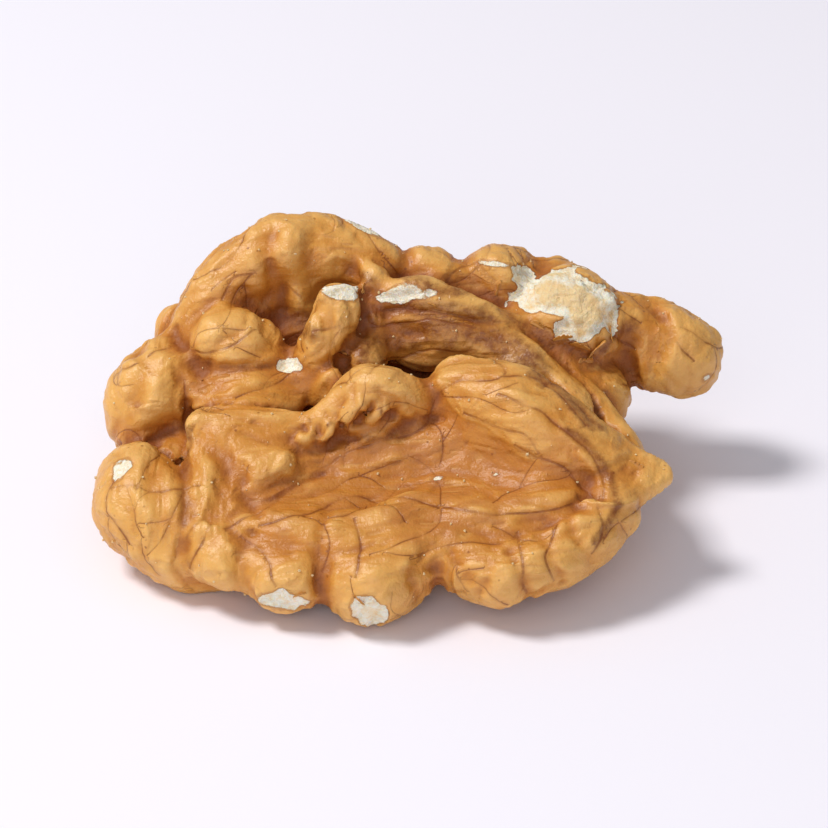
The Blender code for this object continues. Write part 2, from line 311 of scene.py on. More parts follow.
def spread(values, width):
    """A blur so many millimetres wide: each round moves every value halfway to its neighbours' mean.

    A round widens the blur's square by a quarter of the net's square, which gives the number of rounds.
    """
    flat = values.reshape(corner_count, -1)
    for _ in range(max(1, round((2 * width * MM / NET) ** 2))):
        sums = np.stack([summed(column[edges[:, 1]], column[edges[:, 0]]) for column in flat.T], -1)
        flat = 0.5 * (flat + sums / neighbour_count[:, None])
    return flat.reshape(values.shape)


def lattice_noise(points, size, seed):
    """Smooth noise in -1..1: random values on a cubic lattice, blended with 3t^2 - 2t^3 between them."""
    side = 32
    values = np.random.default_rng(seed).uniform(-1, 1, (side, side, side))
    scaled = points / size
    cell = np.floor(scaled).astype(int)
    t = scaled - cell
    t = t * t * (3 - 2 * t)
    total = np.zeros(len(points))
    for corner in np.ndindex(2, 2, 2):
        index = (cell + corner) % side
        weight = np.prod(np.where(corner, t, 1 - t), axis=1)
        total += weight * values[index[:, 0], index[:, 1], index[:, 2]]
    return total


def ramp(values, start, end):
    """0 below start, 1 above end, and a soft S between."""
    t = np.clip((values - start) / (end - start), 0, 1)
    return t * t * (3 - 2 * t)


# %% [markdown]
# ## Soft parts
# Some parts of the plate, and the walls behind it, are one soft swelling where the solid model has a fold and
# a hollow. There every corner moves towards the mean of a wide neighbourhood, which fills the hollow and
# lowers the fold.

# %% Smooth the soft parts
def front_ellipse(right, above, half_width, half_height, furthest):
    """One in the middle of an ellipse of the front view, zero at its rim and behind the furthest y."""
    out = np.hypot((places @ RIGHT / MM - right) / half_width, (places @ UP / MM - above) / half_height)
    in_sight = ramp(facing_of(kernel) @ TO_EYE, -0.1, 0.3)
    return ramp(1 - out, 0.0, 0.5) * in_sight * (places[:, 1] < furthest * MM)


# How wide the blur is, in mm.
SOFT_WIDTH = 1.1
# Each is (right, above, half width, half height, furthest y, strength).
SOFT_PARTS = [
    (-10.6, 4.0, 3.6, 3.4, 2.5, 0.80),
    (-14.2, 2.6, 1.8, 3.6, 2.5, 0.85),
    (5.6, 4.6, 5.4, 3.6, 2.5, 0.90),
    (-6.0, 1.0, 5.0, 2.4, 2.5, 0.50),
    (2.0, -0.6, 9.0, 1.6, 2.5, 0.60),
    (-9.6, 8.2, 6.4, 1.7, 12.0, 0.95),
    (1.6, 10.9, 6.4, 1.9, 12.0, 0.80),
]
places = places_of(kernel)
softened = spread(places, SOFT_WIDTH)
share = np.max([strength * front_ellipse(*ellipse) for *ellipse, strength in SOFT_PARTS], axis=0)
places += (softened - places) * share[:, None]
move_to(kernel, places)
print("softened share of the surface:", round(float((share > 0.1).mean()), 2))

# %% [markdown]
# ## Sharper creases
# Where two folds press together, the skin meets in a narrow dark line. The remesh rounds that off. It is
# brought back by moving each corner away from the mean of its surroundings, much more in the creases than on
# the crests: the same idea as sharpening a photograph, done on a shape. The plate's hollow stays smooth.

# %% Deepen the creases
# The plate's hollow is a soft ellipse in the front view: its middle, half width and half height.
BASIN = (-0.5, 2.2, 11.0, 3.6)
# Each round is (width of the surroundings, gain, the most that a corner may be sunk).
CREASE_ROUNDS = ((0.60, 1.35, 0.6 * MM), (0.30, 1.3, 0.22 * MM))
CREST_LIMIT, CREST_GAIN = 0.4, 0.2

places = places_of(kernel)
out = (places @ RIGHT / MM - BASIN[0]) / BASIN[2], (places @ UP / MM - BASIN[1]) / BASIN[3]
basin = ramp(1 - np.hypot(*out) + 0.3 * lattice_noise(places, 1.5 * MM, 85), 0.0, 0.5)
basin *= ramp(facing_of(kernel) @ TO_EYE, 0.1, 0.5)
for width, gain, most in CREASE_ROUNDS:
    facing = facing_of(kernel)
    sunk = np.einsum("ij,ij->i", spread(places, width) - places, facing)
    deeper = np.clip(sunk, 0, most) * gain + np.clip(sunk, -CREST_LIMIT * most, 0) * CREST_GAIN
    change = deeper * (1 - 0.8 * basin)
    places -= facing * change[:, None]
    move_to(kernel, places)
    print("creases deepened by up to", round(float(min(sunk.max(), most) * gain / MM), 2), "mm")

# %% [markdown]
# ## Which way the folds run
# Wrinkles and veins mostly follow a fold. Its direction is where the height over the surroundings changes
# least: the gradient of that height is multiplied with itself, averaged over the neighbourhood, and the
# direction with the smallest sum, across the normal, is the one along the fold.

# %% The flow along the folds
facing = facing_of(kernel)
relief = -np.einsum("ij,ij->i", spread(places, 0.4) - places, facing)
span = places[edges[:, 1]] - places[edges[:, 0]]
rise = (relief[edges[:, 1]] - relief[edges[:, 0]])[:, None] * span / (span**2).sum(1)[:, None]
slope = np.stack([summed(column, column) for column in rise.T], -1) / neighbour_count[:, None]
tensor = spread(slope[:, :, None] * slope[:, None, :], 0.35)
scale = np.trace(tensor, axis1=1, axis2=2)[:, None, None] + 1e-12
tensor = tensor / scale + 3 * facing[:, :, None] * facing[:, None, :]
flow = np.linalg.eigh(tensor)[1][:, :, 0]
print("flow found at", corner_count, "corners")

# %% [markdown]
# ## Walks over the surface
# A vein is grown like a root: it starts somewhere, takes a small step, turns a little, stays on the
# surface, sometimes branches, and stops when it meets another one. The same walk, without colour and
# keeping closer to the flow, makes the wrinkles. A seeded generator gives the same kernel every time.

# %% Grow a walk
net_tree = BVHTree.FromObject(kernel, bpy.context.evaluated_depsgraph_get())
loop_corner = read_array(kernel.data.loops, "vertex_index", 1, np.int32)
face_corner = loop_corner[read_array(kernel.data.polygons, "loop_start", 1, np.int32)]
WALK_STEP = 0.24 * MM
# Two walks in the same cell of this size have met.
CELL = 0.55 * MM
BEND_KEPT = 0.8
# How far a route through given places strays from its stations, in mm.
WANDER = 0.22


def cell_of(spot):
    return tuple(np.floor(spot / CELL).astype(int))


def grow(start, heading, steps, follow, stray, taken, owner):
    """Points of one walk. It is drawn to the flow, and a bend that changes slowly gives it soft curves."""
    point, direction, bend, route = np.array(start), np.array(heading), 0.0, []
    for number in range(steps):
        spot, normal, face, _ = net_tree.find_nearest(Vector(point))
        spot, normal = np.array(spot), np.array(normal)
        key = cell_of(spot)
        if taken.get(key, owner) != owner and number > 3:
            route.append((spot, normal))
            break
        taken[key] = owner
        route.append((spot, normal))
        local = flow[face_corner[face]]
        local = local * np.sign(local @ direction + 1e-9)
        bend = BEND_KEPT * bend + stray * rng.normal()
        direction = direction + follow * local + bend * np.cross(normal, direction)
        direction -= normal * (direction @ normal)
        direction /= np.linalg.norm(direction) + 1e-12
        point = spot + direction * WALK_STEP
    return route


def traced(text):
    """A route that keeps to the surface, through places of the front view."""
    seen = [seen_at(net_tree, *place) for place in places_in(text)]
    stations = [point for point, _ in seen if point is not None]
    if len(stations) < 2:
        return []
    curve = curve_through(stations, WALK_STEP)
    wander = np.stack([lattice_noise(curve, 0.9 * MM, seed) for seed in (31, 32, 33)], -1) * WANDER * MM
    found = [net_tree.find_nearest(Vector(point)) for point in curve + wander]
    return [(np.array(spot), np.array(normal)) for spot, normal, _, _ in found]


class Lines:
    """Points of many walks, with a direction, a normal and a half width at each."""

    def __init__(self):
        self.rows = []

    def add(self, route, width, taper=True):
        """Smooth a walk, set its points three times as close, and keep it if it is long enough."""
        if len(route) < 4:
            return
        values = np.array([[*spot, *normal] for spot, normal in route])
        for _ in range(3):
            values[1:-1] = (values[:-2] + 2 * values[1:-1] + values[2:]) / 4
        finer = np.linspace(0, len(values) - 1, 3 * len(values))
        values = np.stack([np.interp(finer, np.arange(len(values)), column) for column in values.T], -1)
        spots, normals = values[:, :3], values[:, 3:]
        ahead = np.gradient(spots, axis=0)
        ahead /= np.linalg.norm(ahead, axis=1)[:, None] + 1e-12
        share = np.linspace(0, 1, len(spots))
        widths = width * MM * (1 - 0.6 * share**1.5 if taper else np.ones(len(spots)))
        self.rows.append(np.hstack([spots, ahead, normals, widths[:, None]]))

    def table(self):
        return np.vstack(self.rows)


# Cells along each side of the block that the rows are sorted into.
SIDE_CELLS = 1000


def nearest_line(points, lines, reach):
    """For each point, the nearest row of lines within reach, by sorting the rows into cells; -1 if none."""
    def keys(spots):
        cell = np.floor(spots / reach).astype(np.int64) + SIDE_CELLS // 2
        return (cell[:, 0] * SIDE_CELLS + cell[:, 1]) * SIDE_CELLS + cell[:, 2]

    row_keys = keys(lines[:, :3])
    order = np.argsort(row_keys)
    sorted_keys = row_keys[order]
    best = np.full(len(points), reach)
    found = np.full(len(points), -1)
    for offset in np.ndindex(3, 3, 3):
        wanted = keys(points + (np.array(offset) - 1) * reach)
        first = np.searchsorted(sorted_keys, wanted, "left")
        count = np.searchsorted(sorted_keys, wanted, "right") - first
        for k in range(count.max(initial=0)):
            rows = np.nonzero(count > k)[0]
            lookup = order[first[rows] + k]
            gap = np.linalg.norm(points[rows] - lines[lookup, :3], axis=1)
            nearer = gap < best[rows]
            best[rows[nearer]] = gap[nearer]
            found[rows[nearer]] = lookup[nearer]
    return found


# What stands for no line within reach, in half widths.
FAR = 9.0


def across(points, lines, reach):
    """From the nearest line: signed distance in its half widths, distance in mm, and in half widths."""
    found = nearest_line(points, lines, reach)
    near = found >= 0
    row = lines[found[near]]
    offset = points[near] - row[:, :3]
    offset -= row[:, 3:6] * np.einsum("ij,ij->i", offset, row[:, 3:6])[:, None]
    side = np.cross(row[:, 6:9], row[:, 3:6])
    signed, plain, share = (np.full(len(points), value) for value in (FAR, reach / MM, FAR))
    signed[near] = np.einsum("ij,ij->i", offset, side) / row[:, 9]
    plain[near] = np.linalg.norm(offset, axis=1) / MM
    share[near] = plain[near] * MM / row[:, 9]
    return signed, plain, share


def seeds(count):
    """Corners taken at random, with a heading along the flow, one way or the other."""
    picks = rng.choice(corner_count, count, replace=False)
    return places[picks], flow[picks] * rng.choice([-1, 1], count)[:, None]


# %% [markdown]
# ## Wrinkles
# The dried skin is drawn into fine lengthwise wrinkles, a tenth of a millimetre deep. They run along the
# folds: a few hundred wide ones, and many narrow ones between.

# %% Press the wrinkles in
def pressed(lines, reach, depth):
    """The corners sunk under lines, by exp(-s^2 / 2) of the depth at s half widths from the nearest."""
    _, _, apart = across(places, lines.table(), reach)
    moved = places - facing_of(kernel) * (depth * MM * np.exp(-apart**2 / 2))[:, None]
    move_to(kernel, moved)
    print(len(lines.rows), "lines pressed in by", depth, "mm")
    return moved


def press_wrinkles(count, longest, width, depth):
    """Grooves along walks that keep to the flow."""
    wrinkles, taken = Lines(), {}
    for number, (start, heading) in enumerate(zip(*seeds(count))):
        route = grow(start, heading, int(rng.integers(longest // 3, longest)), 0.30, 0.05, taken, number)
        wrinkles.add(route, width * rng.uniform(0.7, 1.3))
    return pressed(wrinkles, 3 * width * MM, depth)


places = press_wrinkles(count=380, longest=80, width=0.34, depth=0.11)
places = press_wrinkles(count=1700, longest=46, width=0.15, depth=0.085)

# %% Grooves of the rim
# The rim is gathered like a purse: short grooves run out to its edge, and a few cross the folds.
RIM_GROOVES = [
    "-13.1 0.4, -13.4 -1.0, -13.5 -2.2, -12.8 -3.3",
    "-9.8 3.4, -9.9 2.2, -9.1 1.2",
    "-5.0 1.0, -5.4 -1.0, -5.5 -2.4, -5.2 -3.8",
    "0.6 -1.2, -0.1 -2.6, 0.4 -4.0",
    "2.2 -1.4, 2.9 -2.8, 2.8 -4.4",
    "4.3 -2.2, 3.9 -3.6, 3.7 -4.8",
    "5.6 -1.4, 6.3 -3.0, 6.5 -4.2",
    "7.3 -0.4, 7.9 -1.6, 8.4 -2.8",
    "9.0 0.4, 9.6 -1.0, 10.2 -1.9",
    "-9.6 -0.6, -9.9 -2.0, -9.4 -3.4",
    "-12.6 9.3, -11.8 10.6, -10.6 11.4",
    "-14.1 11.4, -13.2 10.2, -12.6 8.8",
    "-8.9 11.9, -8.7 13.6, -8.5 15.2",
    "12.0 15.0, 12.5 13.4, 11.7 11.8",
    "15.0 12.9, 15.5 11.6, 15.0 10.4",
]
# The plate's left end is parted from the bulge by a deep one.
DEEP_GROOVES = [
    "-13.5 6.2, -13.6 4.6, -13.4 2.8, -13.3 0.8, -13.7 -1.0, -13.8 -2.4, -13.0 -3.6",
]
# Wide shallow ones pinch the finger and part the swellings of the arch and of the plate's left end.
WIDE_GROOVES = [
    "14.6 13.2, 14.9 11.8, 14.5 10.2",
    "-12.2 4.9, -11.2 4.2, -10.9 3.0, -11.4 1.8",
    "-8.6 16.8, -8.5 15.4, -7.8 14.2",
    "-5.9 17.4, -6.4 16.0, -6.3 14.8",
    "-16.6 10.6, -16.0 9.6, -16.2 8.6",
]
# Short sharp ones part the curls of the crinkled knob and run down the upright one.
CURL_GROOVES = [
    "-3.6 8.0, -3.4 7.2, -2.9 6.6, -2.4 7.0", "-2.0 8.0, -1.8 7.2, -1.3 6.6, -0.8 7.1",
    "-5.0 6.6, -4.5 5.9, -4.4 5.2", "-6.3 5.8, -5.8 5.2, -5.3 5.6",
    "-0.4 7.6, 0.2 6.6, 1.0 6.4", "-4.6 13.6, -4.9 12.4, -4.7 11.4", "-3.7 13.2, -3.5 12.0",
]


def press_grooves(routes, half_width, depth):
    """Grooves through places of the front view."""
    lines = Lines()
    for text in routes:
        lines.add(traced(text), half_width, taper=False)
    return pressed(lines, 3.2 * half_width * MM, depth)


# Each is (routes, half width, depth), in millimetres.
GROOVES = [
    (RIM_GROOVES, 0.24, 0.20), (DEEP_GROOVES, 0.19, 0.26),
    (WIDE_GROOVES, 0.50, 0.34), (CURL_GROOVES, 0.14, 0.16),
]
for groove_kind in GROOVES:
    places = press_grooves(*groove_kind)

# %% [markdown]
# ## Veins
# The veins are the darkest thing on the skin: thin brown lines that cross the folds and branch. The ones
# that catch the eye from the front are placed through a few given places each; the others are grown.

# %% Veins that show from the front
MAIN_VEINS = {
    "left_bulge": "-17.6 2.5, -15.4 2.2, -12.9 2.5",
    "knob_foot": "-10.3 0.4, -8.9 1.1, -7.2 2.2, -5.5 3.3, -4.1 4.3, -2.4 5.0, -0.8 5.3, 0.8 6.0, 1.2 7.1",
    "bump_foot": "-9.7 3.3, -10.0 2.5, -9.3 1.8, -8.0 2.0, -6.6 2.6",
    "shoulder_top": "1.2 7.1, 2.0 8.4, 4.0 8.7, 6.0 9.1",
    "shoulder_side": "4.9 7.9, 7.7 6.5, 9.7 4.9, 10.6 3.4, 10.8 1.8",
    "shoulder_cross": "3.2 6.5, 4.6 5.9, 6.3 5.4, 7.2 4.3",
    "shoulder_foot": "6.4 4.4, 8.8 3.5, 10.2 1.8, 10.8 0.1, 10.5 -1.0",
    "rim_1": "2.2 -2.0, 2.8 -3.4, 3.6 -4.6",
    "rim_2": "6.0 -0.4, 6.1 -1.9, 6.4 -3.6",
    "rim_3": "8.0 0.2, 7.4 -1.2, 7.8 -2.6",
    "rim_left_1": "-13.1 -0.5, -12.4 0.8, -10.8 1.7, -9.8 3.1",
    "rim_left_2": "-12.8 -1.9, -12.2 -0.8, -11.8 0.6",
    "basin": "-8.4 0.4, -6.0 1.0, -3.4 1.9, -0.4 1.9, 2.4 1.2, 5.6 1.0, 9.0 1.4",
    "arch_1": "-8.5 17.1, -8.7 16.1, -8.2 14.7, -7.2 13.9",
    "arch_2": "-5.7 17.9, -6.5 16.8, -6.6 15.6, -5.9 14.7",
    "arch_3": "-11.4 14.0, -10.8 14.8, -9.6 15.0, -8.7 16.1",
    "second_bulge": "-13.9 10.9, -13.0 10.4, -11.0 10.5, -9.8 11.5",
    "left_shoulder": "-18.0 8.9, -16.7 9.7, -14.8 10.7",
    "under_rim": "-6.2 11.8, -4.1 11.7, -2.4 11.7, -0.7 12.1, 1.2 12.1, 3.2 11.8, 4.9 11.3, "
        "6.3 10.2, 7.4 8.8, 8.8 7.4, 9.6 6.5",
    "under_rim_2": "-3.0 12.6, -0.7 12.8, 1.6 12.6, 3.6 12.0, 5.4 11.0, 7.0 9.8, 8.2 8.5",
    "trough": "-2.4 9.4, -0.8 9.9, 1.2 10.4, 3.2 10.4, 5.4 9.4",
    "right_bump": "1.8 13.8, 2.4 15.3, 3.6 15.9, 4.6 15.0",
    "finger_1": "11.9 15.0, 12.4 13.6, 11.6 11.9, 13.0 10.8",
    "finger_2": "15.2 12.7, 15.5 11.3, 16.6 10.2",
    "left_bulge_2": "-18.2 4.8, -17.4 3.0, -17.9 1.2, -16.6 -0.8",
    "rim_middle": "-9.6 -0.6, -8.4 -1.6, -7.9 -2.8",
    "rim_lobe": "-3.4 0.6, -3.0 -0.8, -3.4 -2.4",
}
VEIN_WIDTH = 0.070
veins, taken = Lines(), {}
for number, text in enumerate(MAIN_VEINS.values()):
    route = traced(text)
    for spot, _ in route:
        taken[cell_of(spot)] = -1 - number
    veins.add(route, VEIN_WIDTH, taper=False)
print(len(veins.rows), "veins placed by hand")

# %% Veins that are grown
GROWN_VEINS = 210
# This share is left out on the eye's side, where the listed ones run.
LEFT_OUT = 0.55
TWIG_EVERY, TWIG_CHANCE, TWIG_FROM = 9, 0.6, 6
owner = 0
for start, heading in zip(*seeds(GROWN_VEINS)):
    owner += 1
    if start @ TO_EYE > 0.5 * MM and rng.random() < LEFT_OUT:
        continue
    turned = heading + 0.9 * rng.normal(size=3)
    route = grow(start, turned / np.linalg.norm(turned), int(rng.integers(16, 60)), 0.05, 0.06, taken, owner)
    veins.add(route, rng.uniform(0.034, 0.056))
    for number in range(TWIG_FROM, len(route) - TWIG_FROM, TWIG_EVERY):
        if rng.random() < TWIG_CHANCE:
            owner += 1
            ahead = route[number + 1][0] - route[number][0]
            away = ahead / (np.linalg.norm(ahead) + 1e-12) + 0.8 * rng.normal(size=3)
            away /= np.linalg.norm(away)
            twig = grow(route[number][0], away, int(rng.integers(6, 24)), 0.04, 0.06, taken, owner)
            veins.add(twig, rng.uniform(0.024, 0.038))

# A vein lies in a shallow groove, both in millimetres.
VEIN_DEPTH, VEIN_HALF = 0.05, 0.16
vein_side, vein_reach, _ = across(places, veins.table(), 0.6 * MM)
places -= facing * (VEIN_DEPTH * MM * np.exp(-(vein_reach / VEIN_HALF) ** 2 / 2))[:, None]
move_to(kernel, places)
print(len(veins.rows), "veins in all")

# %% [markdown]
# ## Broken places
# Shelling chips the crests, and the cream-white flesh shows, with a sharp edge where the skin ends and a
# crumbly floor. A broken place is an ellipse with a noisy outline: those in front lie where the real ones do,
# and a few more sit on crests of the back. Its field is above zero inside; the surface sinks there and is
# roughened, and the material uses the same field for its edge.

# %% Chips
# Each is (right, above, half width, half height, turn in degrees, depth in mm).
CHIPS = {
    "knob_top": (-4.3, 14.1, 1.35, 0.72, 0, 0.24),
    "rim_left": (-1.0, 13.7, 1.5, 0.46, 8, 0.20),
    "nodule": (8.4, 13.9, 3.2, 1.6, -14, 0.26),
    "nodule_right": (10.3, 12.9, 2.1, 2.2, 10, 0.24),
    "fold_bend": (-7.5, 9.55, 0.62, 0.40, 10, 0.12),
    "rim_chip_left": (-7.8, -4.1, 1.35, 0.50, -8, 0.26),
    "rim_chip_middle": (-2.3, -4.8, 1.45, 0.85, -42, 0.32),
    "left_bulge": (-17.0, 3.5, 0.60, 0.42, 60, 0.05),
    "left_bulge_top": (-18.0, 4.9, 0.30, 0.14, 40, 0.04),
    "basin_scuff_1": (1.4, 2.9, 0.34, 0.14, 15, 0.04),
    "basin_scuff_2": (4.7, 3.2, 0.30, 0.12, -20, 0.04),
    "finger_scuff": (17.7, 8.9, 0.28, 0.14, 30, 0.04),
    "arch_edge": (-3.0, 17.8, 1.5, 0.16, -28, 0.08),
    "bump_edge": (4.9, 15.7, 1.0, 0.20, -6, 0.08),
}
HIDDEN_CHIPS, HIDDEN_DEPTH = 16, 0.2
# The surface starts to sink just outside the edge and is at its full depth this far inside, in mm.
EDGE = (-0.03, 0.22)


def broken_field(centre, across_axis, up_axis, out_axis, width, height, seed):
    """About how many millimetres inside an ellipse each corner lies. Two noises tear its outline."""
    offset = places - centre
    along, up = offset @ across_axis / width, offset @ up_axis / height
    out = offset @ out_axis / max(width, height) / 1.2
    distance = np.sqrt(along**2 + up**2 + out**2)
    ragged = 0.46 * lattice_noise(places, 1.1 * MM, seed) + 0.30 * lattice_noise(places, 0.5 * MM, seed + 1)
    return (1 - distance + ragged * np.clip(distance, 0, 1.4)) * min(width, height) / MM


fields = []
for number, (right, above, half_width, half_height, turn, depth) in enumerate(CHIPS.values()):
    centre, normal = seen_at(net_tree, right, above)
    if centre is None:
        print("a chip misses the kernel:", right, above)
        continue
    turned = math.radians(turn)
    along = RIGHT * math.cos(turned) + UP * math.sin(turned)
    upward = UP * math.cos(turned) - RIGHT * math.sin(turned)
    size = half_width * MM, half_height * MM
    fields.append((broken_field(centre, along, upward, TO_EYE, *size, 50 + 2 * number), depth))

on_crest = relief > np.quantile(relief, 0.93)
at_back = (facing @ TO_EYE < -0.35) & (places[:, 1] > 3 * MM)
at_height = (places[:, 2] > 1.5 * MM) & (places[:, 2] < 11 * MM)
crests = np.nonzero(on_crest & at_back & at_height)[0]
for number, corner in enumerate(rng.choice(crests, HIDDEN_CHIPS, replace=False)):
    along, out = flow[corner], facing[corner]
    width = rng.uniform(0.4, 1.2) * MM
    size = width, width * rng.uniform(0.4, 0.8)
    field = broken_field(places[corner], along, np.cross(out, along), out, *size, 90 + 2 * number)
    fields.append((field, HIDDEN_DEPTH))

broken = np.maximum(np.max([field for field, _ in fields], axis=0), -1.0)
sink = np.max([ramp(field, *EDGE) * depth * MM for field, depth in fields], axis=0)
crumbly = 0.6 * lattice_noise(places, 0.8 * MM, 70) + 0.5 * lattice_noise(places, 0.4 * MM, 71)
places -= facing * (sink * (1 + 0.6 * crumbly))[:, None]
move_to(kernel, places)
print("broken share of the surface:", round(float((broken > 0).mean()), 3))

# %% [markdown]
# ## Painted shade bands
# Dark brown ragged bands are painted where shade falls: on the trough's walls, under the inner rim, along the
# feet of the bulges and in the hollows, and as fine dark lines between the curls. A band is a line through
# places of the front view, as wide as it says, torn at its sides by noise.

# %% Painted shade bands
# Each is (half width, places), in millimetres.
SHADE_BANDS = {
    "under_rim": (0.75, "-2.2 12.9, -0.6 13.1, 1.6 12.9, 3.6 12.3, 5.4 11.2, 7.0 9.8, 8.6 8.0, 9.8 6.6"),
    "trough_wall": (0.95, "-2.0 10.8, 0.6 11.3, 3.2 11.3, 5.6 10.4, 7.6 8.8"),
    "knob_right": (0.60, "-3.0 13.4, -2.8 12.0, -3.0 10.6"),
    "arch_foot": (0.40, "-3.4 15.2, -2.6 14.6, -2.2 13.8"),
    "bumps_foot": (0.55, "0.2 14.6, 1.8 14.0, 4.0 13.6, 5.6 12.6, 7.0 11.4"),
    "nodule_foot": (0.55, "8.0 11.2, 9.4 10.6, 10.8 10.2, 12.0 11.0"),
    "bump_line": (0.16, "-10.0 3.4, -10.0 2.2, -9.2 1.6, -7.8 2.0, -6.4 2.8"),
    "notch": (0.35, "-13.4 5.4, -13.4 3.6, -13.3 1.6, -13.5 -0.6"),
    "arch_hollow": (0.60, "-8.2 12.6, -6.8 12.4, -6.4 11.4"),
    "curl_squiggle_1": (0.12, "-3.5 7.2, -3.1 6.5, -2.6 6.9"),
    "curl_squiggle_2": (0.12, "-1.9 7.1, -1.5 6.4, -1.0 6.9"),
    "curl_squiggle_3": (0.14, "-6.2 6.2, -5.8 5.4, -5.2 5.9"),
    "curl_line": (0.14, "-4.9 5.2, -3.6 5.6, -2.2 5.3, -0.6 5.8"),
    "tip_side": (0.35, "9.8 5.0, 11.0 3.6, 11.6 2.0, 11.4 0.6"),
}
SHADE_BAND_REACH = 2.0 * MM
shade_band_lines = Lines()
for half_width, text in SHADE_BANDS.values():
    shade_band_lines.add(traced(text), half_width, taper=False)
_, _, apart = across(places, shade_band_lines.table(), SHADE_BAND_REACH)
frayed = 0.55 * lattice_noise(places, 0.9 * MM, 87) + 0.35 * lattice_noise(places, 0.4 * MM, 88)
shade_band = ramp(1.35 - apart + frayed, 0.0, 0.9)
print(len(shade_band_lines.rows), "stains")

# %% [markdown]
# ## Unevenness of the skin
# No part of the skin is quite smooth. Three layers of noise raise and lower it by up to a quarter of a
# millimetre. What would dip below the floor is kept level with it, because the kernel rests there, and what
# would pass the solid's two ends stops at them.

# %% Fine unevenness
# Each layer is (height in mm, size in mm, seed).
LAYERS = ((0.16, 2.4, 79), (0.07, 1.2, 80), (0.03, 0.55, 81))
facing = facing_of(kernel)
uneven = sum(height * MM * lattice_noise(places, size * MM, seed) for height, size, seed in LAYERS)
places += facing * uneven[:, None]
places[:, 2] = np.maximum(places[:, 2], 0.0)
places[:, 0] = np.clip(places[:, 0], low[0], high[0])
move_to(kernel, places)
kernel.data.shade_smooth()

# %% [markdown]
# ## Streaks
# The skin has a fine grain along the folds. Random values at the corners are passed on again and again,
# mostly to the neighbours ahead and behind in the flow, which draws them out into streaks.

# %% Draw random values out along the flow
def drawn_out(values, rounds):
    """Each round: the mean of a value and its neighbours', weighted by how well the edge keeps the flow."""
    ends = np.stack([edges[:, 0], edges[:, 1]])
    heading = places[ends[1]] - places[ends[0]]
    heading /= np.linalg.norm(heading, axis=1)[:, None] + 1e-12
    weights = [0.02 + np.abs(np.einsum("ij,ij->i", heading, flow[end])) ** 6 for end in ends]
    totals = 1 + sum(np.bincount(end, weight, corner_count) for end, weight in zip(ends, weights))
    for _ in range(rounds):
        passed = sum(
            np.bincount(end, weight * values[other], corner_count)
            for end, other, weight in zip(ends, ends[::-1], weights)
        )
        values = (values + passed) / totals
    return values


def evened(values):
    """The same values round one half, nearly all of them between 0 and 1."""
    return np.clip(0.5 + 0.18 * values / values.std(), 0, 1)


streak = evened(drawn_out(rng.normal(size=corner_count), rounds=9))
broad = evened(drawn_out(spread(rng.normal(size=corner_count), 0.25), rounds=24))
print("streaks drawn out")

# %% [markdown]
# ## How hidden each place is
# The material paints shade into the creases and the trough, where less light gets in, so they are darker
# than the crests, and paints the crests and swellings paler as a painted highlight. It gets five numbers for
# it. `crease` is how far a corner lies below its near surroundings and `crest` how far above. `groove` looks
# at a narrower round and `swell` at a wider one. `hollow` is the share of the sky that a corner can't see,
# from rays sent out of a thinned set of corners.

# %% Crease, crest, swell and groove
facing = facing_of(kernel)
crease = np.einsum("ij,ij->i", spread(places, 0.55) - places, facing)
crease_amount = spread(ramp(crease, -0.02 * MM, 0.32 * MM), 0.1)
crest_amount = spread(ramp(-crease, 0.0, 0.22 * MM), 0.15)
swell = ramp(np.einsum("ij,ij->i", places - spread(places, 1.25), facing), -0.35 * MM, 0.45 * MM)
groove = np.einsum("ij,ij->i", spread(places, 0.25) - places, facing)
groove_amount = ramp(groove, 0.015 * MM, 0.10 * MM)

# %% Hollow
SAMPLE_STEP = 11
SKY_RAYS = 20
SKY_REACH = 9 * MM
# A ray starts this far over the skin, in mm.
RAY_START = 0.08
final_tree = BVHTree.FromObject(kernel, bpy.context.evaluated_depsgraph_get())
golden = np.pi * (3 - math.sqrt(5))
turns = golden * np.arange(SKY_RAYS)
shares = (np.arange(SKY_RAYS) + 0.5) / SKY_RAYS
level = np.sqrt(shares)
dome = np.stack([level * np.cos(turns), level * np.sin(turns), np.sqrt(1 - shares)], -1)
sampled = np.arange(0, corner_count, SAMPLE_STEP)


def blocked_share(place, normal):
    """The share of a dome of rays over the normal that meet the kernel within reach."""
    side = np.cross(normal, [0.31, 0.77, 0.55])
    side /= np.linalg.norm(side)
    rays = dome @ np.stack([side, np.cross(normal, side), normal])
    start = Vector(place + normal * RAY_START * MM)
    return sum(final_tree.ray_cast(start, Vector(ray), SKY_REACH)[0] is not None for ray in rays) / SKY_RAYS


blocked = np.array([blocked_share(places[i], facing[i]) for i in sampled])
known = np.zeros(corner_count)
known[sampled] = 1
hollow = np.zeros(corner_count)
hollow[sampled] = blocked
hollow = spread(hollow, 0.6) / (spread(known, 0.6) + 1e-9)
print("hollow from", round(float(hollow.min()), 2), "to", round(float(hollow.max()), 2))

# %% Hand the numbers to the material
def store(piece, name, values):
    layer = piece.data.attributes.new(name, "FLOAT", "POINT")
    layer.data.foreach_set("value", np.broadcast_to(values, len(piece.data.vertices)).astype(np.float32))


NUMBERS = {
    "crease": crease_amount, "crest": crest_amount, "hollow": hollow, "broken": broken,
    "vein_side": vein_side, "vein_reach": vein_reach, "basin": basin, "groove": groove_amount,
    "shade_band": shade_band, "swell": swell, "streak": streak, "broad": broad,
}
for name, values in NUMBERS.items():
    store(kernel, name, values)
print(len(NUMBERS), "numbers at each corner")

# %% [markdown]
# ## Writing materials as sums
# A node tree is easier to read as arithmetic. This class wraps one output socket, and its operators add
# the Math nodes. Any other node comes from `node`, which sets the settings first and then the inputs.

# %% A socket that can be added and multiplied
def operator(operation, swapped=False):
    """A method that joins a socket and another value with a Math node."""
    def joined(self, other):
        return self.maths(operation, *((other, self) if swapped else (self, other)))
    return joined


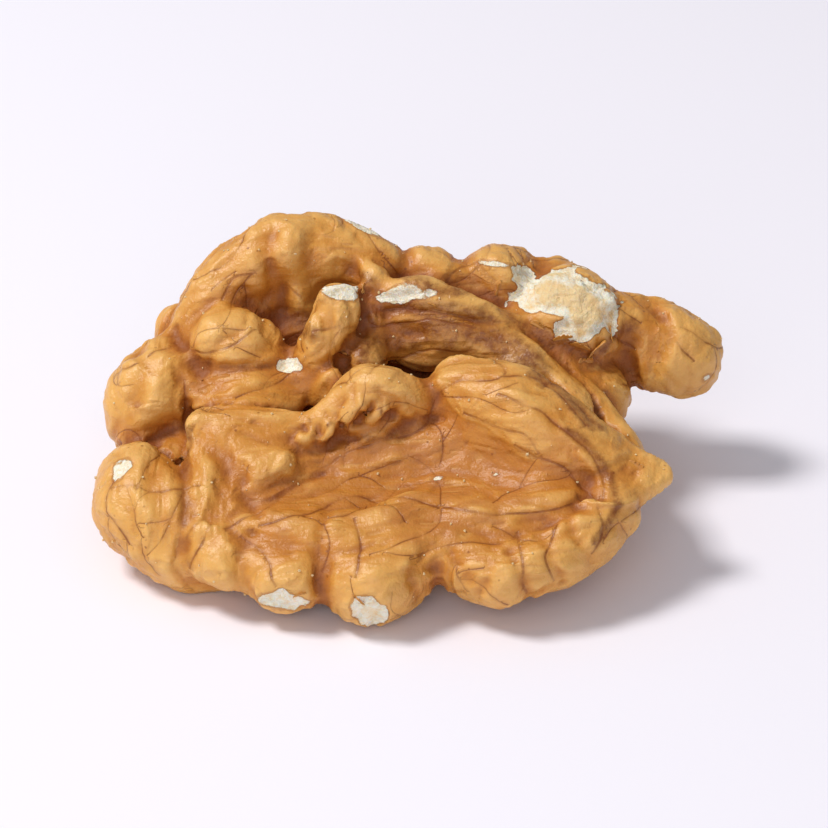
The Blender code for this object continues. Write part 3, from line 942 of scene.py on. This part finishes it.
class Socket:
    __add__ = operator("ADD")
    __radd__ = operator("ADD", swapped=True)
    __sub__ = operator("SUBTRACT")
    __rsub__ = operator("SUBTRACT", swapped=True)
    __mul__ = operator("MULTIPLY")
    __rmul__ = operator("MULTIPLY", swapped=True)

    def __init__(self, tree, output):
        self.tree = tree
        self.output = output

    def __abs__(self):
        return self.maths("ABSOLUTE", self)

    def maths(self, operation, *values, clamp=False):
        settings = {"operation": operation, "use_clamp": clamp}
        return node(self.tree, "ShaderNodeMath", settings, dict(enumerate(values)))

    def clamped(self):
        """The value kept between 0 and 1."""
        return self.maths("ADD", self, 0.0, clamp=True)

    def stepped(self, start, end):
        """0 at start and 1 at end, with a soft S between."""
        inputs = {0: self, 1: start, 2: end, 3: 0.0, 4: 1.0}
        return node(self.tree, "ShaderNodeMapRange", {"interpolation_type": "SMOOTHSTEP"}, inputs)


def node(tree, kind, settings=None, inputs=None, output=0):
    """Add a node, set its settings, then its inputs, and give one of its outputs."""
    made = tree.nodes.new(kind)
    for key, value in (settings or {}).items():
        setattr(made, key, value)
    for key, value in (inputs or {}).items():
        if isinstance(value, Socket):
            tree.links.new(value.output, made.inputs[key])
        else:
            made.inputs[key].default_value = value
    return Socket(tree, made.outputs[output])


def blend(tree, amount, first, second):
    """A mix of two colours by an amount."""
    inputs = {"Factor": amount, 6: first, 7: second}
    return node(tree, "ShaderNodeMix", {"data_type": "RGBA"}, inputs, 2)


def colour(red, green, blue):
    """A colour from its picture values, 0 to 255, as the light values that shaders use."""
    shares = np.array([red, green, blue]) / 255
    light = np.where(shares <= 0.04045, shares / 12.92, ((shares + 0.055) / 1.055) ** 2.4)
    return (*light.tolist(), 1.0)


def attribute(tree, name):
    return node(tree, "ShaderNodeAttribute", {"attribute_name": name}, output="Fac")


def noise(tree, where, size, detail=3.0, roughness=0.55):
    """Noise whose patches are about so many millimetres across."""
    inputs = {"Vector": where, "Scale": 1 / (size * MM), "Detail": detail, "Roughness": roughness}
    return node(tree, "ShaderNodeTexNoise", {}, inputs, "Fac")


# %% [markdown]
# ## The skin's material
# The skin is a warm golden tan. Painted shade makes it orange-brown in the creases and umber deep in the
# trough, and painted highlights make the crests pale. On top of it lie streaks, dark ragged bands of painted
# shade, veins, fine dark freckles and the cream flesh of the broken places. Each is one blend over what is
# below it, and the blends stand in the order of the layers.

# %% Skin colours
HONEY = colour(214, 151, 68)
# Pale tan: the light streaks of the grain, and a painted highlight on the crests and high places.
PALE_STREAK_AND_HIGHLIGHT = colour(236, 186, 108)
AMBER = colour(198, 126, 42)
# Painted shade of the places that lie lower than their wider surroundings.
LOW_SHADE_BRONZE = colour(186, 114, 38)
BARK = colour(186, 118, 52)
# Painted shade in the creases and along the rims of the broken places.
SHADE_RUST = colour(150, 76, 16)
# Painted shade deep in the trough and the most hidden places.
DEEP_SHADE_UMBER = colour(100, 46, 8)
# Painted shade: the brown of the dark bands under the rims and along the feet of the folds.
SHADE_BAND_BROWN = colour(118, 54, 8)
# The brown of the veins and freckles, also painted as shade into the fine creases.
VEIN_AND_GROOVE_SHADE = colour(132, 66, 12)
CREAM = colour(246, 214, 158)
CHALK = colour(255, 250, 232)

skin = bpy.data.materials.new("walnut_skin")
skin.use_nodes = True
tree = skin.node_tree
shader = tree.nodes["Principled BSDF"]
where = node(tree, "ShaderNodeTexCoord", output="Object")

# From here on these names stand for the stored numbers.
crease, crest, hollow, basin, groove, shade_band, swell, streak, broad = (
    attribute(tree, name)
    for name in ("crease", "crest", "hollow", "basin", "groove", "shade_band", "swell", "streak", "broad")
)
mottle = noise(tree, where, 5.0, 3.0)
speckle = noise(tree, where, 0.9, 4.0, 0.65)
fibre = noise(tree, where, 0.35, 3.0, 0.6)
tone = blend(tree, mottle.stepped(0.36, 0.66), HONEY, AMBER)
torn = noise(tree, where, 0.7, 4.0, 0.7).stepped(0.38, 0.66)
skin_layers = [
    (broad.stepped(0.45, 0.9) * 0.55, AMBER),
    # Painted shade: places lower than their wider surroundings go bronze.
    (swell.stepped(0.55, 0.15) * 0.75, LOW_SHADE_BRONZE),
    # Painted highlight: high places and crests go pale.
    (swell.stepped(0.5, 1.0) * 0.45 + crest * 0.55 * speckle.stepped(0.3, 0.7), PALE_STREAK_AND_HIGHLIGHT),
    (speckle.stepped(0.48, 0.72) * 0.30, AMBER),
    (basin * (0.15 + 0.75 * broad.stepped(0.3, 0.8)), BARK),
    (streak.stepped(0.6, 1.0) * 0.30, BARK),
    (streak.stepped(0.4, 0.0) * 0.30, PALE_STREAK_AND_HIGHLIGHT),
    # Painted shade: the creases and the partly hidden places go orange-brown.
    (crease * 0.75 + hollow.stepped(0.45, 0.85) * 0.22, SHADE_RUST),
    # Painted shade: fine creases get a thin dark line in the vein colour.
    (groove * (0.20 + 0.45 * crease), VEIN_AND_GROOVE_SHADE),
    # Painted shade: the most hidden places, deep in the trough, go umber.
    (hollow.stepped(0.80, 1.0) * 0.35, DEEP_SHADE_UMBER),
    # Painted shade: dark ragged bands under the rims, along the feet of the folds, in the hollows and between
    # the curls.
    (shade_band * (0.42 + 0.42 * torn), SHADE_BAND_BROWN),
]
for amount, tint in skin_layers:
    tone = blend(tree, amount.clamped(), tone, tint)
print("the skin's ground colour has", len(skin_layers), "layers")

# %% Veins, freckles and flesh
side = abs(attribute(tree, "vein_side"))
reach = attribute(tree, "vein_reach")
ragged = noise(tree, where, 0.5, 2.0) * 0.9 + 0.55
side = side * (0.65 + 0.8 * noise(tree, where, 1.4, 2.0))
core = (1 - side.stepped(0.5, 1.5)) * (1 - reach.stepped(0.20, 0.32))
halo = (1 - side.stepped(0.5, 5.0)) * (1 - reach.stepped(0.16, 0.34)) * 0.28
faded = noise(tree, where, 2.4, 3.0).stepped(0.34, 0.62)
vein = ((core * 0.55 * ragged + halo) * (0.28 + 0.72 * faded)).clamped()
tone = blend(tree, vein, tone, VEIN_AND_GROOVE_SHADE)

cells = {"Vector": where, "Scale": 1 / (0.75 * MM), "Randomness": 1.0}
freckles = node(tree, "ShaderNodeTexVoronoi", {"feature": "F1"}, cells, "Distance")
freckle = (1 - freckles.stepped(0.07, 0.16)) * noise(tree, where, 2.2).stepped(0.5, 0.62) * 0.7
tone = blend(tree, freckle.clamped(), tone, VEIN_AND_GROOVE_SHADE)

edge = attribute(tree, "broken") + (fibre - 0.5) * 0.22
flesh = edge.stepped(-0.01, 0.04)
rim_shadow = (1 - abs(edge + 0.04).stepped(0.0, 0.09)) * 0.45
grain = noise(tree, where, 0.28, 4.0, 0.7)
inner = (edge + noise(tree, where, 2.0) * 0.9).stepped(0.75, 1.5)
creamy = inner * 0.85 + grain.stepped(0.58, 0.36) * 0.60
flesh_tone = blend(tree, creamy.clamped(), CHALK, CREAM)
golden_flesh = inner * noise(tree, where, 1.6).stepped(0.5, 0.7) * 0.45
flesh_tone = blend(tree, golden_flesh.clamped(), flesh_tone, HONEY)
tone = blend(tree, rim_shadow.clamped(), tone, SHADE_RUST)
tone = blend(tree, flesh, tone, flesh_tone)
tree.links.new(tone.output, shader.inputs["Base Color"])

# %% Gloss and fine relief
gloss = 0.26 + 0.24 * speckle + 0.22 * crease + 0.35 * flesh
tree.links.new(gloss.clamped().output, shader.inputs["Roughness"])
plain_inputs = {
    "Specular IOR Level": 0.45, "Subsurface Weight": 0.12,
    "Subsurface Radius": (1.0, 0.55, 0.25), "Subsurface Scale": 0.9 * MM,
}
for key, value in plain_inputs.items():
    shader.inputs[key].default_value = value
pores = noise(tree, where, 0.16, 3.0, 0.6)
height = speckle * 0.5 + fibre * 0.4 + pores * 0.2 + streak * 0.55 + broad * 0.5 - vein * 0.3
height = height + flesh * grain * 2.0
bump = {"Strength": 0.8, "Distance": 0.16 * MM, "Height": height}
relief_bump = node(tree, "ShaderNodeBump", {}, bump)
tree.links.new(relief_bump.output, shader.inputs["Normal"])
kernel.data.materials.clear()
kernel.data.materials.append(skin)
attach(kernel, "root")
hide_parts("kernel")
print("skin material:", len(tree.nodes), "nodes")

# %% [markdown]
# ## Crumbs and curled flakes
# Shelling leaves a dust of flesh on the skin, and beside a broken place the skin curls up in thin flakes.
# They are far too small for the solid model, so they are two pieces of the scene only, pressed a little into
# the skin. Both use its material: the attribute `broken` makes a crumb flesh and a flake skin.

# %% A crumb and a flake as surfaces
CRUMB_SIDES, CRUMB_RINGS = 8, 4
FLAKE_ALONG, FLAKE_ACROSS = 13, 7


def crumbs_at(centres, sizes):
    """Unit spheres on a grid of two angles, each corner pushed in or out at random, scaled and moved."""
    turn, tip = np.meshgrid(
        np.linspace(0, 2 * np.pi, CRUMB_SIDES, endpoint=False),
        np.linspace(0, np.pi, CRUMB_RINGS + 2)[1:-1], indexing="ij",
    )
    ball = np.stack([np.cos(turn) * np.sin(tip), np.sin(turn) * np.sin(tip), np.cos(tip)], -1).reshape(-1, 3)
    ball = np.vstack([ball, [[0, 0, 1], [0, 0, -1]]])
    knobs = rng.uniform(0.6, 1.2, (len(centres), len(ball), 1)) * rng.uniform(0.6, 1.2, (len(centres), 1, 3))
    corners = (centres[:, None] + sizes[:, None, None] * knobs * ball).reshape(-1, 3)
    i, j = np.meshgrid(np.arange(CRUMB_SIDES), np.arange(CRUMB_RINGS - 1), indexing="ij")
    a, b = i * CRUMB_RINGS + j, (i + 1) % CRUMB_SIDES * CRUMB_RINGS + j
    quads = np.stack([a, a + 1, b + 1, b], -1).reshape(-1, 4).tolist()
    first = np.arange(CRUMB_SIDES) * CRUMB_RINGS
    after, top, last = np.roll(first, -1), len(ball) - 2, CRUMB_RINGS - 1
    caps = [[top, x, y] for x, y in zip(first, after)]
    caps += [[top + 1, y + last, x + last] for x, y in zip(first, after)]
    faces = [[k + n * len(ball) for k in face] for n in range(len(centres)) for face in quads + caps]
    return corners, faces


def flake_at(centre, normal, along, length, width, curl):
    """A strip bent round its own length: across it runs an arc of `curl` radians, and its rim is ragged."""
    u, v = np.meshgrid(np.linspace(-1, 1, FLAKE_ALONG), np.linspace(0, 1, FLAKE_ACROSS), indexing="ij")
    ragged = 1 + 0.25 * rng.normal(size=(FLAKE_ALONG, 1)) * v
    reach = width * np.sqrt(np.clip(1 - 0.9 * u**4, 0.05, 1)) * ragged
    angle = curl * v * (0.8 + 0.3 * u)
    side = np.cross(normal, along)
    radius = reach / curl
    corners = centre + along * (u * length / 2)[..., None] + side * (radius * np.sin(angle))[..., None]
    corners = corners + normal * (radius * (1 - np.cos(angle)) - 0.03 * MM)[..., None]
    i, j = np.meshgrid(np.arange(FLAKE_ALONG - 1), np.arange(FLAKE_ACROSS - 1), indexing="ij")
    k = i * FLAKE_ACROSS + j
    quads = np.stack([k, k + FLAKE_ACROSS, k + FLAKE_ACROSS + 1, k + 1], -1)
    return corners.reshape(-1, 3), quads.reshape(-1, 4).tolist()


def mesh_piece(name, corners, faces):
    data = bpy.data.meshes.new(name)
    data.from_pydata(corners.tolist(), [], faces)
    data.materials.append(skin)
    return linked(name, data)


def give_plain(piece, **values):
    """Plain values of the skin's attributes for a small piece: no vein near it, and an even grain."""
    plain = {"vein_side": FAR, "vein_reach": FAR, "streak": 0.5, "broad": 0.3}
    for name, value in {**plain, **values}.items():
        store(piece, name, value)


# %% Crumbs near the broken places
CRUMBS = 260
near_break = np.nonzero((broken > -1.6) & (broken < 0.1) & (places[:, 2] > 0.8 * MM))[0]
anywhere = np.nonzero((facing[:, 2] > 0.2) & (places[:, 2] > 1.0 * MM))[0]
picks = [rng.choice(group, CRUMBS // 2, replace=False) for group in (near_break, anywhere)]
hosts = np.concatenate(picks)
crumb_sizes = rng.uniform(0.035, 0.10, CRUMBS) * MM
corners, faces = crumbs_at(places[hosts] + facing[hosts] * 0.4 * crumb_sizes[:, None], crumb_sizes)
crumbs = mesh_piece("kernel_crumbs", corners, faces)
give_plain(crumbs, broken=2.0)
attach(crumbs, "root")
print(len(hosts), "crumbs,", len(faces), "faces")

# %% Flakes of curled skin
# Each is (right, above, turn in degrees, length, width, curl in radians), lengths in mm.
FLAKES = [
    (7.6, 11.7, -30, 1.5, 0.55, 1.6), (8.9, 11.1, 10, 1.2, 0.50, 2.0), (9.9, 10.6, -25, 1.3, 0.60, 1.5),
    (11.0, 10.5, 35, 1.5, 0.55, 1.9), (11.9, 11.4, 65, 1.2, 0.45, 1.6), (10.3, 9.7, 5, 1.0, 0.45, 1.4),
    (5.2, 14.2, 60, 1.0, 0.35, 1.5), (-2.9, 14.0, 80, 0.9, 0.35, 1.5), (-6.5, -3.7, 20, 0.8, 0.30, 1.3),
    (-3.2, -3.9, -35, 1.0, 0.35, 1.4), (12.8, 3.6, -50, 1.0, 0.35, 1.2), (0.9, 13.1, -10, 0.9, 0.30, 1.4),
]
parts, flake_faces, count = [], [], 0
for right, above, turn, length, width, curl in FLAKES:
    centre, normal = seen_at(final_tree, right, above)
    if centre is None:
        continue
    angle = math.radians(turn)
    along = RIGHT * math.cos(angle) + UP * math.sin(angle)
    along = along - normal * (along @ normal)
    along /= np.linalg.norm(along)
    corners, faces = flake_at(centre, normal, along, length * MM, width * MM, curl)
    parts.append(corners)
    flake_faces += [[k + count for k in face] for face in faces]
    count += len(corners)
flakes = mesh_piece("kernel_flakes", np.vstack(parts), flake_faces)
flakes.data.shade_smooth()
thick = flakes.modifiers.new("thick", "SOLIDIFY")
thick.thickness = 0.05 * MM
thick.offset = 0.0
settle_modifiers(flakes)
# crest=0.7 paints the flakes pale, a painted highlight as on the crests.
give_plain(flakes, broken=-1.0, crest=0.7)
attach(flakes, "root")
print(len(parts), "flakes")

# %% [markdown]
# ## The floor, the light and the camera
# The kernel lies on a white sheet under soft daylight from the upper left. The sheet is large enough to fill
# the view from every side.

# %% Floor
def paper_floor(half_width):
    data = bpy.data.meshes.new("floor")
    corners = [(x * half_width, y * half_width, 0.0) for x, y in ((-1, -1), (1, -1), (1, 1), (-1, 1))]
    data.from_pydata(corners, [], [(0, 1, 2, 3)])
    floor = linked("floor", data)
    paper = bpy.data.materials.new("paper")
    paper.use_nodes = True
    inputs = paper.node_tree.nodes["Principled BSDF"].inputs
    inputs["Base Color"].default_value = colour(246, 243, 252)
    inputs["Roughness"].default_value = 0.85
    data.materials.append(paper)
    return floor


paper_floor(2.0)

# %% Light
# The Standard view keeps the sheet white and the browns saturated, as daylight does.
bpy.context.scene.view_settings.view_transform = "Standard"
world = bpy.data.worlds.new("daylight")
bpy.context.scene.world = world
world.use_nodes = True
sky = world.node_tree.nodes["Background"].inputs
sky["Color"].default_value = (0.95, 0.96, 1.0, 1.0)
sky["Strength"].default_value = 0.34


def soft_lamp(name, place, size, power, tint):
    """A square lamp that faces the kernel."""
    data = bpy.data.lights.new(name, "AREA")
    data.size = size
    data.energy = power
    data.color = tint
    lamp = linked(name, data)
    lamp.location = place
    lamp.rotation_mode = "QUATERNION"
    lamp.rotation_quaternion = Vector(place).to_track_quat("Z", "Y")
    return lamp


soft_lamp("window", place=(-0.26, 0.0, 0.42), size=0.13, power=1.78, tint=(1.0, 0.985, 0.96))
soft_lamp("room", place=(-0.06, -0.50, 0.26), size=0.36, power=0.85, tint=(0.98, 0.98, 1.0))

# %% Camera
LENS = 150.0
FRAME_WIDTH = 49.0 * MM
# It aims a little below the middle of the height.
AIM_DROP = 0.6 * MM
aim = Vector((0.0, 0.0, 0.5 * high[2] - AIM_DROP))
camera = linked("camera", bpy.data.cameras.new("camera"))
camera.data.lens = LENS
camera.data.clip_start = 0.01
camera.location = aim + Vector(TO_EYE) * FRAME_WIDTH * LENS / camera.data.sensor_width
camera.rotation_mode = "QUATERNION"
camera.rotation_quaternion = Vector(TO_EYE).to_track_quat("Z", "Y")
bpy.context.scene.camera = camera

# %% Size of the net
print("triangles:", sum(len(face.vertices) - 2 for face in kernel.data.polygons))
